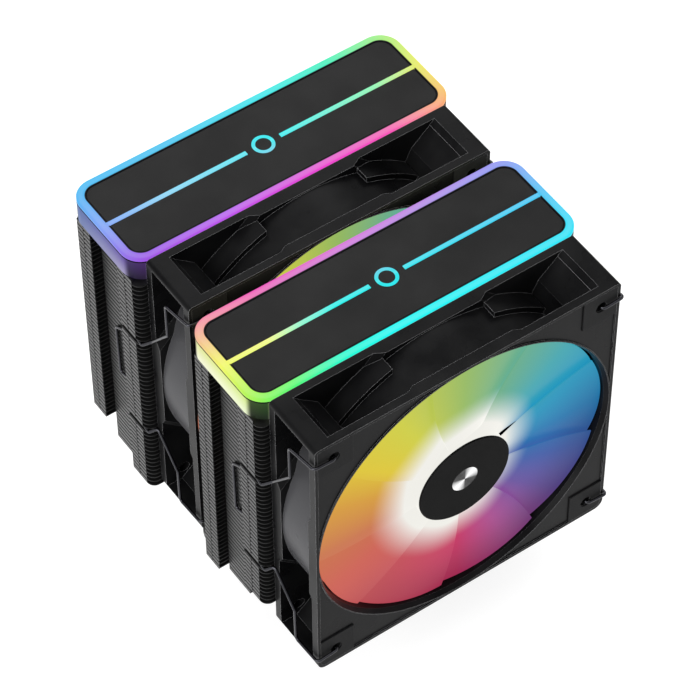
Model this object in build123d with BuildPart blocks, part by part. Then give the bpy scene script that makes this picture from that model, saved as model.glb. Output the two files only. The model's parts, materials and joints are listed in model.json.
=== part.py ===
"""Twin-tower air cooler for a computer processor: two fin stacks on six heat pipes, two 120 mm
fans, two light-up top covers, wire fan clips and a sprung mounting bar.

Millimetres. The origin is the centre of the base's contact face, +Z is up, the front fan faces -Y
and the covers' long sides run along X.
"""

from build123d import *
from math import cos, radians, sin, sqrt, tan
import os

os.makedirs("parts", exist_ok=True)

# ---- driving dimensions -------------------------------------------------------------------------
TOTAL_HEIGHT = 160.0
TOWER_HEIGHT = 119.7  # fins and cover together
TOWER_PITCH = 70.7  # from one tower's middle to the other's, along Y
TOWER_DEPTH = 40.6
COVER_WIDTH = 128.8
COVER_HEIGHT = 9.9
FIN_HALF_WIDTH = 64.0
FAN_SIZE = 120.0
FAN_DEPTH = 25.0
FAN_GAP = 0.4  # between a fan's back and the fins
RUNNING_GAP = 0.03  # radial clearance of a fan's shaft in its bush

# ---- places that follow from them ---------------------------------------------------------------
TOWER_Y = {"front": -TOWER_PITCH / 2, "rear": TOWER_PITCH / 2}
TOWER_BOTTOM = TOTAL_HEIGHT - TOWER_HEIGHT
FAN_Z = TOWER_BOTTOM + FAN_SIZE / 2
HALF_DEPTH = TOWER_DEPTH / 2
COVER_BOTTOM = TOTAL_HEIGHT - COVER_HEIGHT


def fan_front(tower):
    """The Y of the front face of the fan that blows into a tower."""
    return TOWER_Y[tower] - HALF_DEPTH - FAN_GAP - FAN_DEPTH


# A fan is modelled with its front face on Z = 0 and its depth along +Z, then stood up behind
# its tower's place.
FAN_SPOT = {
    name: Location(Plane((0, fan_front(tower), FAN_Z), x_dir=(1, 0, 0), z_dir=(0, 1, 0)))
    for name, tower in (("front", "front"), ("middle", "rear"))
}


def save(piece, name, *spots):
    """Stands a piece at its spots, labels it and writes it."""
    with BuildPart() as placed:
        with Locations(*(spots or [Location()])):
            add(piece)
    placed.part.label = name
    export_step(placed.part, f"parts/{name}.step")


# ---- base: contact plate, clamping block --------------------------------------------------------
BASE_X = 46.0
BASE_Y = 43.0
PLATE_THICK = 5.5
BLOCK_TOP = 17.0
BASE_CORNER_R = 2.0
BLOCK_SLOTS = (8, 5.0, 1.8, 10.0, 4.0)  # count, pitch, width, length and depth of a row
SLOT_ROWS_APART = 29.0
PIPE_R = 3.0
GROOVE_R = PIPE_R + 0.02
PIPE_BASE_PITCH = 7.0
BAR_SCREW_X = 12.0
BAR_SCREW_R = 1.5
BAR_SCREW_DEPTH = 6.0
PIPE_BASE_X = [PIPE_BASE_PITCH * (i - 2.5) for i in range(6)]

with BuildPart() as base_plate:
    with BuildSketch():
        RectangleRounded(BASE_X, BASE_Y, BASE_CORNER_R)
    extrude(amount=PLATE_THICK)
    chamfer(base_plate.faces().sort_by(Axis.Z)[0].edges(), 0.4)
    with BuildSketch(Plane.XZ.offset(-BASE_Y)):
        with Locations(*[(x, PLATE_THICK) for x in PIPE_BASE_X]):
            Circle(GROOVE_R)
    extrude(amount=2 * BASE_Y, mode=Mode.SUBTRACT)
save(base_plate.part, "base_plate")

with BuildPart() as base_block:
    with BuildSketch(Plane.XY.offset(PLATE_THICK)):
        RectangleRounded(BASE_X, BASE_Y, BASE_CORNER_R)
    extrude(amount=BLOCK_TOP - PLATE_THICK)
    chamfer(base_block.faces().sort_by(Axis.Z)[-1].edges(), 0.6)
    with BuildSketch(Plane.XZ.offset(-BASE_Y)):
        with Locations(*[(x, PLATE_THICK) for x in PIPE_BASE_X]):
            Circle(GROOVE_R)
    extrude(amount=2 * BASE_Y, mode=Mode.SUBTRACT)
    # Cooling grooves either side of the mounting bar.
    slot_count, slot_pitch, slot_width, slot_length, slot_depth = BLOCK_SLOTS
    with BuildSketch(Plane.XY.offset(BLOCK_TOP)):
        with GridLocations(slot_pitch, SLOT_ROWS_APART, slot_count, 2):
            Rectangle(slot_width, slot_length)
    extrude(amount=-slot_depth, mode=Mode.SUBTRACT)
    with Locations((-BAR_SCREW_X, 0, BLOCK_TOP), (BAR_SCREW_X, 0, BLOCK_TOP)):
        Hole(BAR_SCREW_R, depth=BAR_SCREW_DEPTH)
save(base_block.part, "base_block")

# ---- heat pipes ---------------------------------------------------------------------------------
# Each pipe lies in the base along Y and climbs through both towers. The middle pipes climb on the
# near side of each tower, the inner and outer ones on the far side.
PIPE_TOWER_X = [-36.0, -22.0, -8.0, 8.0, 22.0, 36.0]
PIPE_IS_NEAR = [False, True, False, False, True, False]
PIPE_NEAR_IN = 4.6  # from a tower's middle towards the cooler's middle
PIPE_FAR_OUT = 3.4  # from a tower's middle away from it
PIPE_NEAR_Y = TOWER_PITCH / 2 - PIPE_NEAR_IN
PIPE_FAR_Y = TOWER_PITCH / 2 + PIPE_FAR_OUT
PIPE_BASE_OUT = 0.6  # the base bends stand this much further out
PIPE_TOP = COVER_BOTTOM - 0.9
PIPE_KNEE_Z = 31.0
BEND_LOW = 9.0
BEND_HIGH = 12.0

for i in range(6):
    tower_y = PIPE_NEAR_Y if PIPE_IS_NEAR[i] else PIPE_FAR_Y
    base_y = tower_y + PIPE_BASE_OUT
    with BuildPart() as heat_pipe:
        with BuildLine() as route:
            FilletPolyline(
                (PIPE_TOWER_X[i], -tower_y, PIPE_TOP),
                (PIPE_TOWER_X[i], -tower_y, PIPE_KNEE_Z),
                (PIPE_BASE_X[i], -base_y, PLATE_THICK),
                (PIPE_BASE_X[i], base_y, PLATE_THICK),
                (PIPE_TOWER_X[i], tower_y, PIPE_KNEE_Z),
                (PIPE_TOWER_X[i], tower_y, PIPE_TOP),
                radius=[BEND_HIGH, BEND_LOW, BEND_LOW, BEND_HIGH],
            )
        with BuildSketch(Plane(route.line @ 0, z_dir=route.line % 0)):
            Circle(PIPE_R)
        sweep()
        chamfer(heat_pipe.edges().group_by(Axis.Z)[-1], 1.2)
    save(heat_pipe.part, f"heat_pipe_{i + 1}")

# ---- fin stacks ---------------------------------------------------------------------------------
FIN_COUNT = 51
FIN_PITCH = 2.15
FIN_THICK = 0.4
FIN_GAP = 0.12  # left between a fin's folded edge and the next fin
FIN_CUT_COUNT = 5  # the lowest fins, shortened to clear what stands beside the cooler
FRONT_CORNER_R = 3.2
SIDE_IN = 61.0  # half width of the set-back middle stretch
# Depths along Y from the tower's middle, front to back.
FRONT_TAB = (-17.1, -8.4)
MIDDLE_TAB = (-6.4, 6.3)
REAR_TAB = (8.3, 16.1)
CLIP_GROOVE_X = 59.6
REAR_GROOVE_X = 57.0
REAR_CORNER_X = 60.5
CUT_FRONT = -7.4
CUT_REAR = 7.3
WAVE_COUNT = 7  # shallow teeth along a fin's back edge
WAVE_DEPTH = 1.2
TAB_SLOT = (0.8, 0.7)
UPPER_CLIP_GAP = 36  # the gaps between fins that a clip's wire passes through
LOWER_CLIP_GAP = 14
STACK_TOP = TOWER_BOTTOM + FIN_COUNT * FIN_PITCH - FIN_GAP


def back_edge():
    """Half of a fin's toothed back edge, from its corner in to the middle."""
    step = REAR_CORNER_X / WAVE_COUNT
    points = []
    for k in range(WAVE_COUNT):
        depth = HALF_DEPTH - (WAVE_DEPTH if k % 2 else 0.0)
        outer = REAR_CORNER_X - k * step
        points += [(outer - 0.15 * step, depth), (outer - 0.85 * step, depth)]
    return [(REAR_CORNER_X, HALF_DEPTH)] + points[1:] + [(0, points[-1][1])]


def fin_outline(holes, front=-HALF_DEPTH, rear=HALF_DEPTH):
    """A fin's flat shape between two depths, with its heat-pipe holes."""
    with BuildSketch() as outline:
        with BuildLine():
            Line((0, -HALF_DEPTH), (FIN_HALF_WIDTH - FRONT_CORNER_R, -HALF_DEPTH))
            RadiusArc(
                (FIN_HALF_WIDTH - FRONT_CORNER_R, -HALF_DEPTH),
                (FIN_HALF_WIDTH, FRONT_TAB[0]),
                -FRONT_CORNER_R,
            )
            Polyline(
                (FIN_HALF_WIDTH, FRONT_TAB[0]),
                (FIN_HALF_WIDTH, FRONT_TAB[1]),
                (CLIP_GROOVE_X, FRONT_TAB[1]),
                (CLIP_GROOVE_X, MIDDLE_TAB[0]),
                (SIDE_IN, MIDDLE_TAB[0]),
                (SIDE_IN, MIDDLE_TAB[1]),
                (REAR_GROOVE_X, MIDDLE_TAB[1]),
                (REAR_GROOVE_X, REAR_TAB[0]),
                (FIN_HALF_WIDTH, REAR_TAB[0]),
                (FIN_HALF_WIDTH, REAR_TAB[1]),
                *back_edge(),
            )
            Line((0, back_edge()[-1][1]), (0, -HALF_DEPTH))
        make_face()
        mirror(about=Plane.YZ)
        with Locations(*holes):
            Circle(PIPE_R + 0.05, mode=Mode.SUBTRACT)
        with Locations((0, (front + rear) / 2)):
            Rectangle(2 * FIN_HALF_WIDTH, rear - front, mode=Mode.INTERSECT)
    return outline.sketch


def tab_wall(outer_x, span):
    """The two folded edges, left and right, that stand on one stretch of a fin's side."""
    with BuildSketch() as wall:
        for side in (-1, 1):
            with Locations((side * (outer_x - FIN_THICK / 2), sum(span) / 2)):
                Rectangle(FIN_THICK, span[1] - span[0])
    return wall.sketch


def fin(holes, tabs, **cut):
    """One fin with its folded edges, its underside on Z = 0."""
    with BuildPart() as sheet:
        with BuildSketch():
            add(fin_outline(holes, **cut))
        extrude(amount=FIN_THICK)
        for outer_x, span in tabs:
            with BuildSketch():
                add(tab_wall(outer_x, span))
            extrude(amount=FIN_PITCH - FIN_GAP)
            if outer_x == FIN_HALF_WIDTH:
                with Locations((0, sum(span) / 2, (FIN_PITCH + FIN_THICK) / 2)):
                    Box(4 * outer_x, *TAB_SLOT, mode=Mode.SUBTRACT)
    return sheet.part


FRONT = (FIN_HALF_WIDTH, FRONT_TAB)
MIDDLE = (SIDE_IN, MIDDLE_TAB)
REAR = (FIN_HALF_WIDTH, REAR_TAB)
SHORTENED = {
    "front": {"tabs": [MIDDLE, REAR], "front": CUT_FRONT},
    "rear": {"tabs": [FRONT, MIDDLE], "rear": CUT_REAR},
}

for tower, toward_middle in (("front", 1), ("rear", -1)):
    pipe_holes = [
        (x, toward_middle * (PIPE_NEAR_IN if near else -PIPE_FAR_OUT))
        for x, near in zip(PIPE_TOWER_X, PIPE_IS_NEAR)
    ]
    fins_by_kind = {
        "full": fin(pipe_holes, [FRONT, MIDDLE, REAR]),
        "notched": fin(pipe_holes, [MIDDLE, REAR]),
        "short": fin(pipe_holes, **SHORTENED[tower]),
    }
    levels = {"full": [], "notched": [], "short": []}
    for i in range(FIN_COUNT):
        kind = "notched" if i in (LOWER_CLIP_GAP, UPPER_CLIP_GAP) else "full"
        kind = "short" if i < FIN_CUT_COUNT else kind
        levels[kind].append((0, TOWER_Y[tower], TOWER_BOTTOM + i * FIN_PITCH))
    with BuildPart() as fins:
        for kind, spots in levels.items():
            with Locations(*spots):
                add(fins_by_kind[kind])
    fins.part.label = f"{tower}_fins"
    export_step(fins.part, f"parts/{tower}_fins.step")

# ---- top covers, modelled over the tower's middle at their real height --------------------------
COVER_R = 8.0
BAND = 3.2  # width of the light guide's rim
PANEL_GAP = 0.1
SEAM_BELOW = 1.3  # the thin seam under the rim's top
SEAM = 0.4
LINE_WIDTH = 1.6
LINE_END_X = 6.8
LINE_THICK = 1.8
PANEL_SINK = 0.2
PANEL_THICK = 1.8
RING_OUTER = 4.0
RING_INNER = 2.8
RING_THICK = 1.0
TRAY_TOP = STACK_TOP + 1.5
BOARD_TOP = TRAY_TOP + 1.2
BOARD_INSET = 0.6
POST_SPOTS = (100.0, 22.0)
POST_R = 2.6
POST_BORE_DEPTH = 4.0
COVER_SCREW_R = 1.1
COVER_SCREW_LONG = 6.0
COVER_HEAD_R = 2.0
COVER_HEAD_HIGH = 0.9
COVER_RECESS = (2.4, 0.5)  # a screw's cross recess, length and width
GUIDE_EDGE = 0.5
LAMP_SIZE = (3.5, 2.8)
LAMP_HIGH = 1.4
LONG_LAMPS = (14.0, 27.0, 7, 2)  # pitch along X and Y, then count along X and Y
END_LAMPS = (114.0, 9.0, 2, 3)
INNER_X = COVER_WIDTH - 2 * BAND
INNER_Y = TOWER_DEPTH - 2 * BAND
INNER_R = COVER_R - BAND
PANEL_TOP = TOTAL_HEIGHT - PANEL_SINK
PANEL_BOTTOM = PANEL_TOP - PANEL_THICK


def inner_rectangle(gap):
    """The rounded rectangle inside the light guide's rim, less a gap all round."""
    RectangleRounded(INNER_X - 2 * gap, INNER_Y - 2 * gap, INNER_R - gap)


def post_locations():
    """The four screw posts' places, on the workplane in use."""
    return GridLocations(*POST_SPOTS, 2, 2)


with BuildPart() as light_guide:
    with BuildSketch(Plane.XY.offset(COVER_BOTTOM)):
        RectangleRounded(COVER_WIDTH, TOWER_DEPTH, COVER_R)
        RectangleRounded(INNER_X, INNER_Y, INNER_R, mode=Mode.SUBTRACT)
    extrude(amount=COVER_HEIGHT)
    chamfer(light_guide.faces().sort_by(Axis.Z)[-1].outer_wire().edges(), GUIDE_EDGE)
    with BuildSketch(Plane.XY.offset(TOTAL_HEIGHT - SEAM_BELOW - SEAM)):
        RectangleRounded(COVER_WIDTH, TOWER_DEPTH, COVER_R)
        RectangleRounded(
            COVER_WIDTH - 2 * SEAM, TOWER_DEPTH - 2 * SEAM, COVER_R - SEAM, mode=Mode.SUBTRACT
        )
    extrude(amount=SEAM, mode=Mode.SUBTRACT)
    # The bright centre line: one finger from each short side.
    finger = INNER_X / 2 + 1.0 - LINE_END_X
    with BuildSketch(Plane.XY.offset(TOTAL_HEIGHT)):
        for side in (-1, 1):
            with Locations((side * (LINE_END_X + finger / 2), 0)):
                Rectangle(finger, LINE_WIDTH)
    extrude(amount=-LINE_THICK)

with BuildPart() as cover_panel:
    with BuildSketch(Plane.XY.offset(PANEL_BOTTOM)):
        inner_rectangle(PANEL_GAP)
    extrude(amount=PANEL_THICK)
    chamfer(cover_panel.faces().sort_by(Axis.Z)[-1].edges(), 0.3)
    with BuildSketch(Plane.XY.offset(PANEL_BOTTOM)):
        for side in (-1, 1):
            with Locations((side * (LINE_END_X + INNER_X / 2), 0)):
                Rectangle(INNER_X + 2 * PANEL_GAP, LINE_WIDTH + 2 * PANEL_GAP)
    extrude(amount=PANEL_THICK, mode=Mode.SUBTRACT)
    with BuildSketch(Plane.XY.offset(PANEL_TOP)):
        Circle(RING_OUTER + PANEL_GAP / 2)
        Circle(RING_INNER - PANEL_GAP / 2, mode=Mode.SUBTRACT)
    extrude(amount=-RING_THICK, mode=Mode.SUBTRACT)
    with BuildSketch(Plane.XY.offset(PANEL_BOTTOM)):
        with post_locations():
            Circle(POST_R)
    extrude(amount=BOARD_TOP - PANEL_BOTTOM)
    with BuildSketch(Plane.XY.offset(BOARD_TOP)):
        with post_locations():
            Circle(COVER_SCREW_R)
    extrude(amount=POST_BORE_DEPTH, mode=Mode.SUBTRACT)

with BuildPart() as cover_ring:
    with BuildSketch(Plane.XY.offset(PANEL_TOP - RING_THICK)):
        Circle(RING_OUTER)
        Circle(RING_INNER, mode=Mode.SUBTRACT)
    extrude(amount=RING_THICK + PANEL_SINK / 2)

with BuildPart() as cover_tray:
    with BuildSketch(Plane.XY.offset(STACK_TOP)):
        inner_rectangle(PANEL_GAP)
    extrude(amount=TRAY_TOP - STACK_TOP)
    with Locations(Plane.XY.offset(STACK_TOP).rotated((180, 0, 0))):
        with post_locations():
            CounterSinkHole(COVER_SCREW_R + 0.1, COVER_HEAD_R + 0.2, counter_sink_angle=90)

with BuildPart() as cover_screws:
    with BuildSketch(Plane.XY.offset(STACK_TOP)):
        with post_locations():
            Circle(COVER_HEAD_R)
    extrude(amount=COVER_HEAD_HIGH, taper=45)
    with BuildSketch(Plane.XY.offset(STACK_TOP)):
        with post_locations():
            Circle(COVER_SCREW_R - 0.05)
    extrude(amount=COVER_SCREW_LONG)
    with BuildSketch(Plane.XY.offset(STACK_TOP)):
        with post_locations():
            Rectangle(*COVER_RECESS)
            Rectangle(*reversed(COVER_RECESS))
    extrude(amount=COVER_RECESS[1], mode=Mode.SUBTRACT)

with BuildPart() as light_board:
    with BuildSketch(Plane.XY.offset(TRAY_TOP)):
        inner_rectangle(BOARD_INSET)
        with post_locations():
            Circle(COVER_SCREW_R + 0.3, mode=Mode.SUBTRACT)
    extrude(amount=BOARD_TOP - TRAY_TOP)

with BuildPart() as cover_lamps:
    with BuildSketch(Plane.XY.offset(BOARD_TOP)):
        with GridLocations(*LONG_LAMPS):
            RectangleRounded(*LAMP_SIZE, 0.3)
        with GridLocations(*END_LAMPS):
            RectangleRounded(*reversed(LAMP_SIZE), 0.3)
    extrude(amount=LAMP_HIGH)

for tower, y in TOWER_Y.items():
    spot = Location((0, y, 0))
    save(light_guide.part, f"{tower}_cover_light_guide", spot)
    save(cover_panel.part, f"{tower}_cover_panel", spot)
    save(cover_ring.part, f"{tower}_cover_ring", spot)
    save(cover_tray.part, f"{tower}_cover_tray", spot)
    save(light_board.part, f"{tower}_cover_board", spot)
both_towers = [Location((0, y, 0)) for y in TOWER_Y.values()]
save(cover_screws.part, "cover_screws", *both_towers)
save(cover_lamps.part, "cover_lamps", *both_towers)

# ---- fans, modelled with the front face on Z = 0 and depth along +Z ------------------------------
TOP_CORNER_R = 1.5
BOTTOM_CORNER_R = 3.5
HOLE_PITCH = 105.0
HOLE_R = 2.2
FLANGE = 3.0
FRONT_THICK = 4.4  # flange thickness near the middle of each side
REAR_THICK = 5.0
THICK_REACH = 82.0  # |x| + |y| inside which the flanges are thick
DUCT_R = 58.0
LIP_R = 58.9
LIP_DEPTH = 1.8
LIP_RIM = 0.35
BARREL_R = 59.4
STEP_R = 61.6  # thicker blocks on the barrel, beside the back flange
STEP_FROM = 14.5
STEP_X = (20.0, 41.0)
CORNER_PLATE_X = 53.0
CORNER_PLATE_IN_X = 51.0
CORNER_PLATE_THICK = 2.0
GUSSET = ((53.5, 59.0), (44.2, 50.6), (41.6, 44.9), (40.4, 42.9))  # from a plate's end to the barrel
GUSSET_THICK = 1.6
FACE_SINK = 0.6  # the front face between its rim and its corner pads
RIM = 1.2
PAD = 14.5
PAD_THICK = 1.0
BACK_PAD = PAD - 2.4
BACK_PAD_SEAT = PAD - 2.0
HUB_R = 18.25
MOTOR_R = 21.5
MOTOR_FROM = 22.2
FRAME_BACK = 24.6
STRUT_COUNT = 5
STRUT_SPAN = (MOTOR_R - 1.8, DUCT_R + 0.7)
STRUT_WIDTH = 4.2
TUBE_R = 4.5
TUBE_FROM = 7.6
TUBE_BORE = 15.0
BUSH_R = 3.5
SHAFT_R = 1.5
SHAFT_FROM = 2.5


def frame_square(inset=0.0, mode=Mode.ADD):
    """The frame's square outline, less an inset: local +Y is down, where its corners are rounder."""
    with BuildSketch(mode=Mode.PRIVATE) as outline:
        Rectangle(FAN_SIZE - 2 * inset, FAN_SIZE - 2 * inset)
        fillet(outline.vertices().group_by(Axis.Y)[0], TOP_CORNER_R - inset)
        fillet(outline.vertices().group_by(Axis.Y)[-1], BOTTOM_CORNER_R - inset)
    add(outline.sketch, mode=mode)


with BuildPart() as fan_frame:
    with BuildSketch():
        Rectangle(FAN_SIZE, FAN_SIZE)
    extrude(amount=FLANGE)
    with BuildSketch(Plane.XY.offset(FLANGE)):
        Rectangle(THICK_REACH * sqrt(2), THICK_REACH * sqrt(2), rotation=45)
    extrude(amount=FRONT_THICK - FLANGE, taper=50)
    with BuildSketch(Plane.XY.offset(FAN_DEPTH)):
        Rectangle(FAN_SIZE, FAN_SIZE)
    extrude(amount=-FLANGE)
    with BuildSketch(Plane.XY.offset(FAN_DEPTH - FLANGE)):
        Rectangle(THICK_REACH * sqrt(2), THICK_REACH * sqrt(2), rotation=45)
    extrude(amount=FLANGE - REAR_THICK, taper=50)
    with BuildSketch():
        Circle(BARREL_R)
    extrude(amount=FAN_DEPTH)
    with BuildSketch(Plane.XY.offset(STEP_FROM)):
        with GridLocations(sum(STEP_X), 0, 2, 1):
            Rectangle(STEP_X[1] - STEP_X[0], FAN_SIZE)
        Circle(STEP_R, mode=Mode.INTERSECT)
    extrude(amount=FAN_DEPTH - STEP_FROM)
    # Slanted walls between each corner plate and the barrel.
    with BuildSketch():
        for x_side in (-1, 1):
            for y_side in (-1, 1):
                with BuildLine():
                    Polyline(*[(x_side * x, y_side * y) for x, y in GUSSET])
                trace(line_width=GUSSET_THICK)
    extrude(amount=FAN_DEPTH)
    # Corner plates across the top and the bottom.
    with BuildSketch(Plane.XY):
        for x_side in (-1, 1):
            for y_side in (-1, 1):
                with BuildLine():
                    Polyline(
                        (x_side * CORNER_PLATE_X, y_side * FAN_SIZE / 2),
                        (x_side * FAN_SIZE / 2, y_side * FAN_SIZE / 2),
                        (x_side * FAN_SIZE / 2, y_side * (FAN_SIZE / 2 - CORNER_PLATE_THICK)),
                        (x_side * CORNER_PLATE_IN_X, y_side * (FAN_SIZE / 2 - CORNER_PLATE_THICK)),
                        close=True,
                    )
                make_face()
    extrude(amount=FAN_DEPTH)
    with BuildSketch():
        frame_square()
    extrude(amount=FAN_DEPTH, mode=Mode.INTERSECT)
    # The duct and its flared front lip.
    with BuildSketch():
        Circle(DUCT_R)
    extrude(amount=FAN_DEPTH, mode=Mode.SUBTRACT)
    chamfer(
        fan_frame.faces().sort_by(Axis.Z)[0].inner_wires().edges(),
        length=LIP_DEPTH,
        length2=LIP_R - DUCT_R,
    )
    # The front face sinks between its rim, the duct's lip and the corner pads.
    with BuildSketch():
        frame_square(RIM)
        Circle(LIP_R + LIP_RIM, mode=Mode.SUBTRACT)
    extrude(amount=FACE_SINK, mode=Mode.SUBTRACT)
    with BuildSketch(Plane.XY.offset(FAN_DEPTH)):
        with GridLocations(HOLE_PITCH, HOLE_PITCH, 2, 2):
            Rectangle(BACK_PAD_SEAT, BACK_PAD_SEAT)
    extrude(amount=-(PAD_THICK - FAN_GAP), mode=Mode.SUBTRACT)
    with BuildSketch():
        with GridLocations(HOLE_PITCH, HOLE_PITCH, 2, 2):
            Circle(HOLE_R)
    extrude(amount=FAN_DEPTH, mode=Mode.SUBTRACT)
    # Motor seat, struts and bearing tube.
    with BuildSketch(Plane.XY.offset(MOTOR_FROM)):
        Circle(MOTOR_R)
    extrude(amount=FRAME_BACK - MOTOR_FROM)
    with BuildSketch(Plane.XY.offset(MOTOR_FROM)):
        with PolarLocations(0, STRUT_COUNT, start_angle=90):
            with Locations((sum(STRUT_SPAN) / 2, 0)):
                Rectangle(STRUT_SPAN[1] - STRUT_SPAN[0], STRUT_WIDTH)
    extrude(amount=FRAME_BACK - MOTOR_FROM)
    with BuildSketch(Plane.XY.offset(TUBE_FROM)):
        Circle(TUBE_R)
    extrude(amount=FRAME_BACK - TUBE_FROM)
    with BuildSketch(Plane.XY.offset(TUBE_FROM)):
        Circle(BUSH_R)
    extrude(amount=TUBE_BORE, mode=Mode.SUBTRACT)

with BuildPart() as corner_pads:
    with BuildSketch():
        with GridLocations(HOLE_PITCH, HOLE_PITCH, 2, 2):
            Rectangle(PAD, PAD)
        frame_square(RIM, mode=Mode.INTERSECT)
        Circle(LIP_R + LIP_RIM, mode=Mode.SUBTRACT)
        with GridLocations(HOLE_PITCH, HOLE_PITCH, 2, 2):
            Circle(HOLE_R, mode=Mode.SUBTRACT)
    extrude(amount=FACE_SINK)
    chamfer(corner_pads.faces().sort_by(Axis.Z)[:4].edges(), 0.15)
    with BuildSketch(Plane.XY.offset(FAN_DEPTH + FAN_GAP - PAD_THICK)):
        with GridLocations(HOLE_PITCH, HOLE_PITCH, 2, 2):
            RectangleRounded(BACK_PAD, BACK_PAD, 1.0)
            Circle(HOLE_R, mode=Mode.SUBTRACT)
    extrude(amount=PAD_THICK)

BLADE_COUNT = 9
BLADE_FRONT = 2.8  # depth of a blade's leading edge
BLADE_MIDDLE = 4.5
BLADE_BACK = 15.0
BLADE_HALF_SPAN = 38.0  # degrees each side of a blade's middle, so that neighbours overlap
BLADE_EDGE = 0.35  # an edge's thickness, as a share of the blade's
BLADE_TIP_R = 57.2
BLADE_START = 10.0  # degrees
# Radius, sweep in degrees and thickness of the three sections of a blade. The first lies inside
# the hub and the last outside the tip, and the blade is trimmed to both.
BLADE_SECTIONS = ((14.5, 0.0, 1.6), (37.0, 3.0, 1.3), (58.6, 9.0, 1.1))
CAP_TOP = 0.9
CAP_THICK = 0.6
CAP_EDGE = 0.35
CUP_TOP = CAP_TOP + CAP_THICK
CUP_WALL = 1.15
CUP_FLOOR = 1.5
CUP_BACK = 20.4
BOSS_R = 4.0  # the boss that holds the shaft
BOSS_BACK = 7.2
BOSS_HOLLOW_R = 2.9
DISC_R = 5.1
DISC_GAP = 0.1
DISC_SINK = 0.3
DISC_THICK = 0.25


def blade_section(radius, sweep_angle, thickness):
    """A curved blade section on the plane that touches a circle of this radius."""
    outward = (cos(radians(sweep_angle)), sin(radians(sweep_angle)), 0)
    across = (-sin(radians(sweep_angle)), cos(radians(sweep_angle)), 0)
    plane = Plane((radius * outward[0], radius * outward[1], 0), x_dir=across, z_dir=outward)
    half = radius * tan(radians(BLADE_HALF_SPAN))
    end = BLADE_EDGE * thickness
    with BuildSketch(plane) as section:
        with BuildLine():
            ThreePointArc((-half, BLADE_FRONT), (0, BLADE_MIDDLE), (half, BLADE_BACK - end))
            Line((half, BLADE_BACK - end), (half, BLADE_BACK))
            ThreePointArc(
                (half, BLADE_BACK), (0, BLADE_MIDDLE + thickness), (-half, BLADE_FRONT + end)
            )
            Line((-half, BLADE_FRONT + end), (-half, BLADE_FRONT))
        make_face()
    return section.sketch


with BuildPart() as blade:
    for numbers in BLADE_SECTIONS:
        add(blade_section(*numbers))
    loft()
    with BuildSketch():
        Circle(BLADE_TIP_R)
        Circle(HUB_R - CUP_WALL / 2, mode=Mode.SUBTRACT)
    extrude(amount=FAN_DEPTH, mode=Mode.INTERSECT)

with BuildPart() as impeller:
    with BuildSketch(Plane.XY.offset(CUP_TOP)):
        Circle(HUB_R)
    extrude(amount=CUP_BACK - CUP_TOP)
    with BuildSketch(Plane.XY.offset(CUP_TOP + CUP_FLOOR)):
        Circle(HUB_R - CUP_WALL)
        Circle(BOSS_HOLLOW_R, mode=Mode.SUBTRACT)
    extrude(amount=CUP_BACK, mode=Mode.SUBTRACT)
    with BuildSketch(Plane.XY.offset(BOSS_BACK)):
        Circle(BOSS_R)
    extrude(amount=CUP_BACK, mode=Mode.SUBTRACT)
    with BuildSketch(Plane.XY.offset(SHAFT_FROM)):
        Circle(SHAFT_R)
    extrude(amount=CUP_BACK, mode=Mode.SUBTRACT)
    with PolarLocations(0, BLADE_COUNT, start_angle=BLADE_START):
        add(blade.part)

with BuildPart() as hub_cap:
    with BuildSketch(Plane.XY.offset(CAP_TOP)):
        Circle(HUB_R)
    extrude(amount=CAP_THICK)
    chamfer(hub_cap.faces().sort_by(Axis.Z)[0].edges(), CAP_EDGE)
    with BuildSketch(Plane.XY.offset(CAP_TOP)):
        Circle(DISC_R + DISC_GAP)
    extrude(amount=DISC_SINK, mode=Mode.SUBTRACT)

with BuildPart() as hub_disc:
    with BuildSketch(Plane.XY.offset(CAP_TOP + DISC_SINK)):
        Circle(DISC_R)
    extrude(amount=-DISC_THICK)

# ---- the fan's motor, in the same place ---------------------------------------------------------
YOKE_SPAN = (5.0, 20.0)  # depths, front and back
YOKE_IN_R = 16.05
MAGNET_SPAN = (7.0, 19.0)
MAGNET_R = 16.0
MAGNET_IN_R = 14.7
SHAFT_LONG = 19.3
BUSH_SPAN = (8.0, 21.0)
CORE_SPAN = (9.5, 16.5)
CORE_R = 7.0
SHOE_R = 13.9
SHOE_IN_R = 12.4
SHOE_GAP = 3.4
ARM_COUNT = 4
ARM_START = 45.0  # degrees
ARM_WIDTH = 3.0
COIL_R = 9.7  # a winding's middle, out from the axis
COIL_LONG = 4.6
COIL_WIDTH = 5.6
COIL_DEEP = 9.6
COIL_GAP = 0.02  # between an arm and its winding
MOTOR_BOARD_THICK = 1.0
MOTOR_LAMPS = 8
LAMP_RING_R = 19.2
MOTOR_LAMP_SIZE = (1.8, 2.4)
MOTOR_LAMP_HIGH = 0.6

with BuildPart() as rotor_yoke:
    with BuildSketch(Plane.XY.offset(YOKE_SPAN[0])):
        Circle(HUB_R - CUP_WALL - 0.05)
        Circle(YOKE_IN_R, mode=Mode.SUBTRACT)
    extrude(amount=YOKE_SPAN[1] - YOKE_SPAN[0])

with BuildPart() as rotor_magnet:
    with BuildSketch(Plane.XY.offset(MAGNET_SPAN[0])):
        Circle(MAGNET_R)
        Circle(MAGNET_IN_R, mode=Mode.SUBTRACT)
    extrude(amount=MAGNET_SPAN[1] - MAGNET_SPAN[0])

with BuildPart() as shaft:
    with BuildSketch(Plane.XY.offset(SHAFT_FROM)):
        Circle(SHAFT_R)
    extrude(amount=SHAFT_LONG)
    chamfer(shaft.edges().group_by(Axis.Z)[-1], 0.3)

with BuildPart() as bush:
    with BuildSketch(Plane.XY.offset(BUSH_SPAN[0])):
        Circle(BUSH_R - 0.01)
        Circle(SHAFT_R + RUNNING_GAP, mode=Mode.SUBTRACT)
    extrude(amount=BUSH_SPAN[1] - BUSH_SPAN[0])

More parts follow.
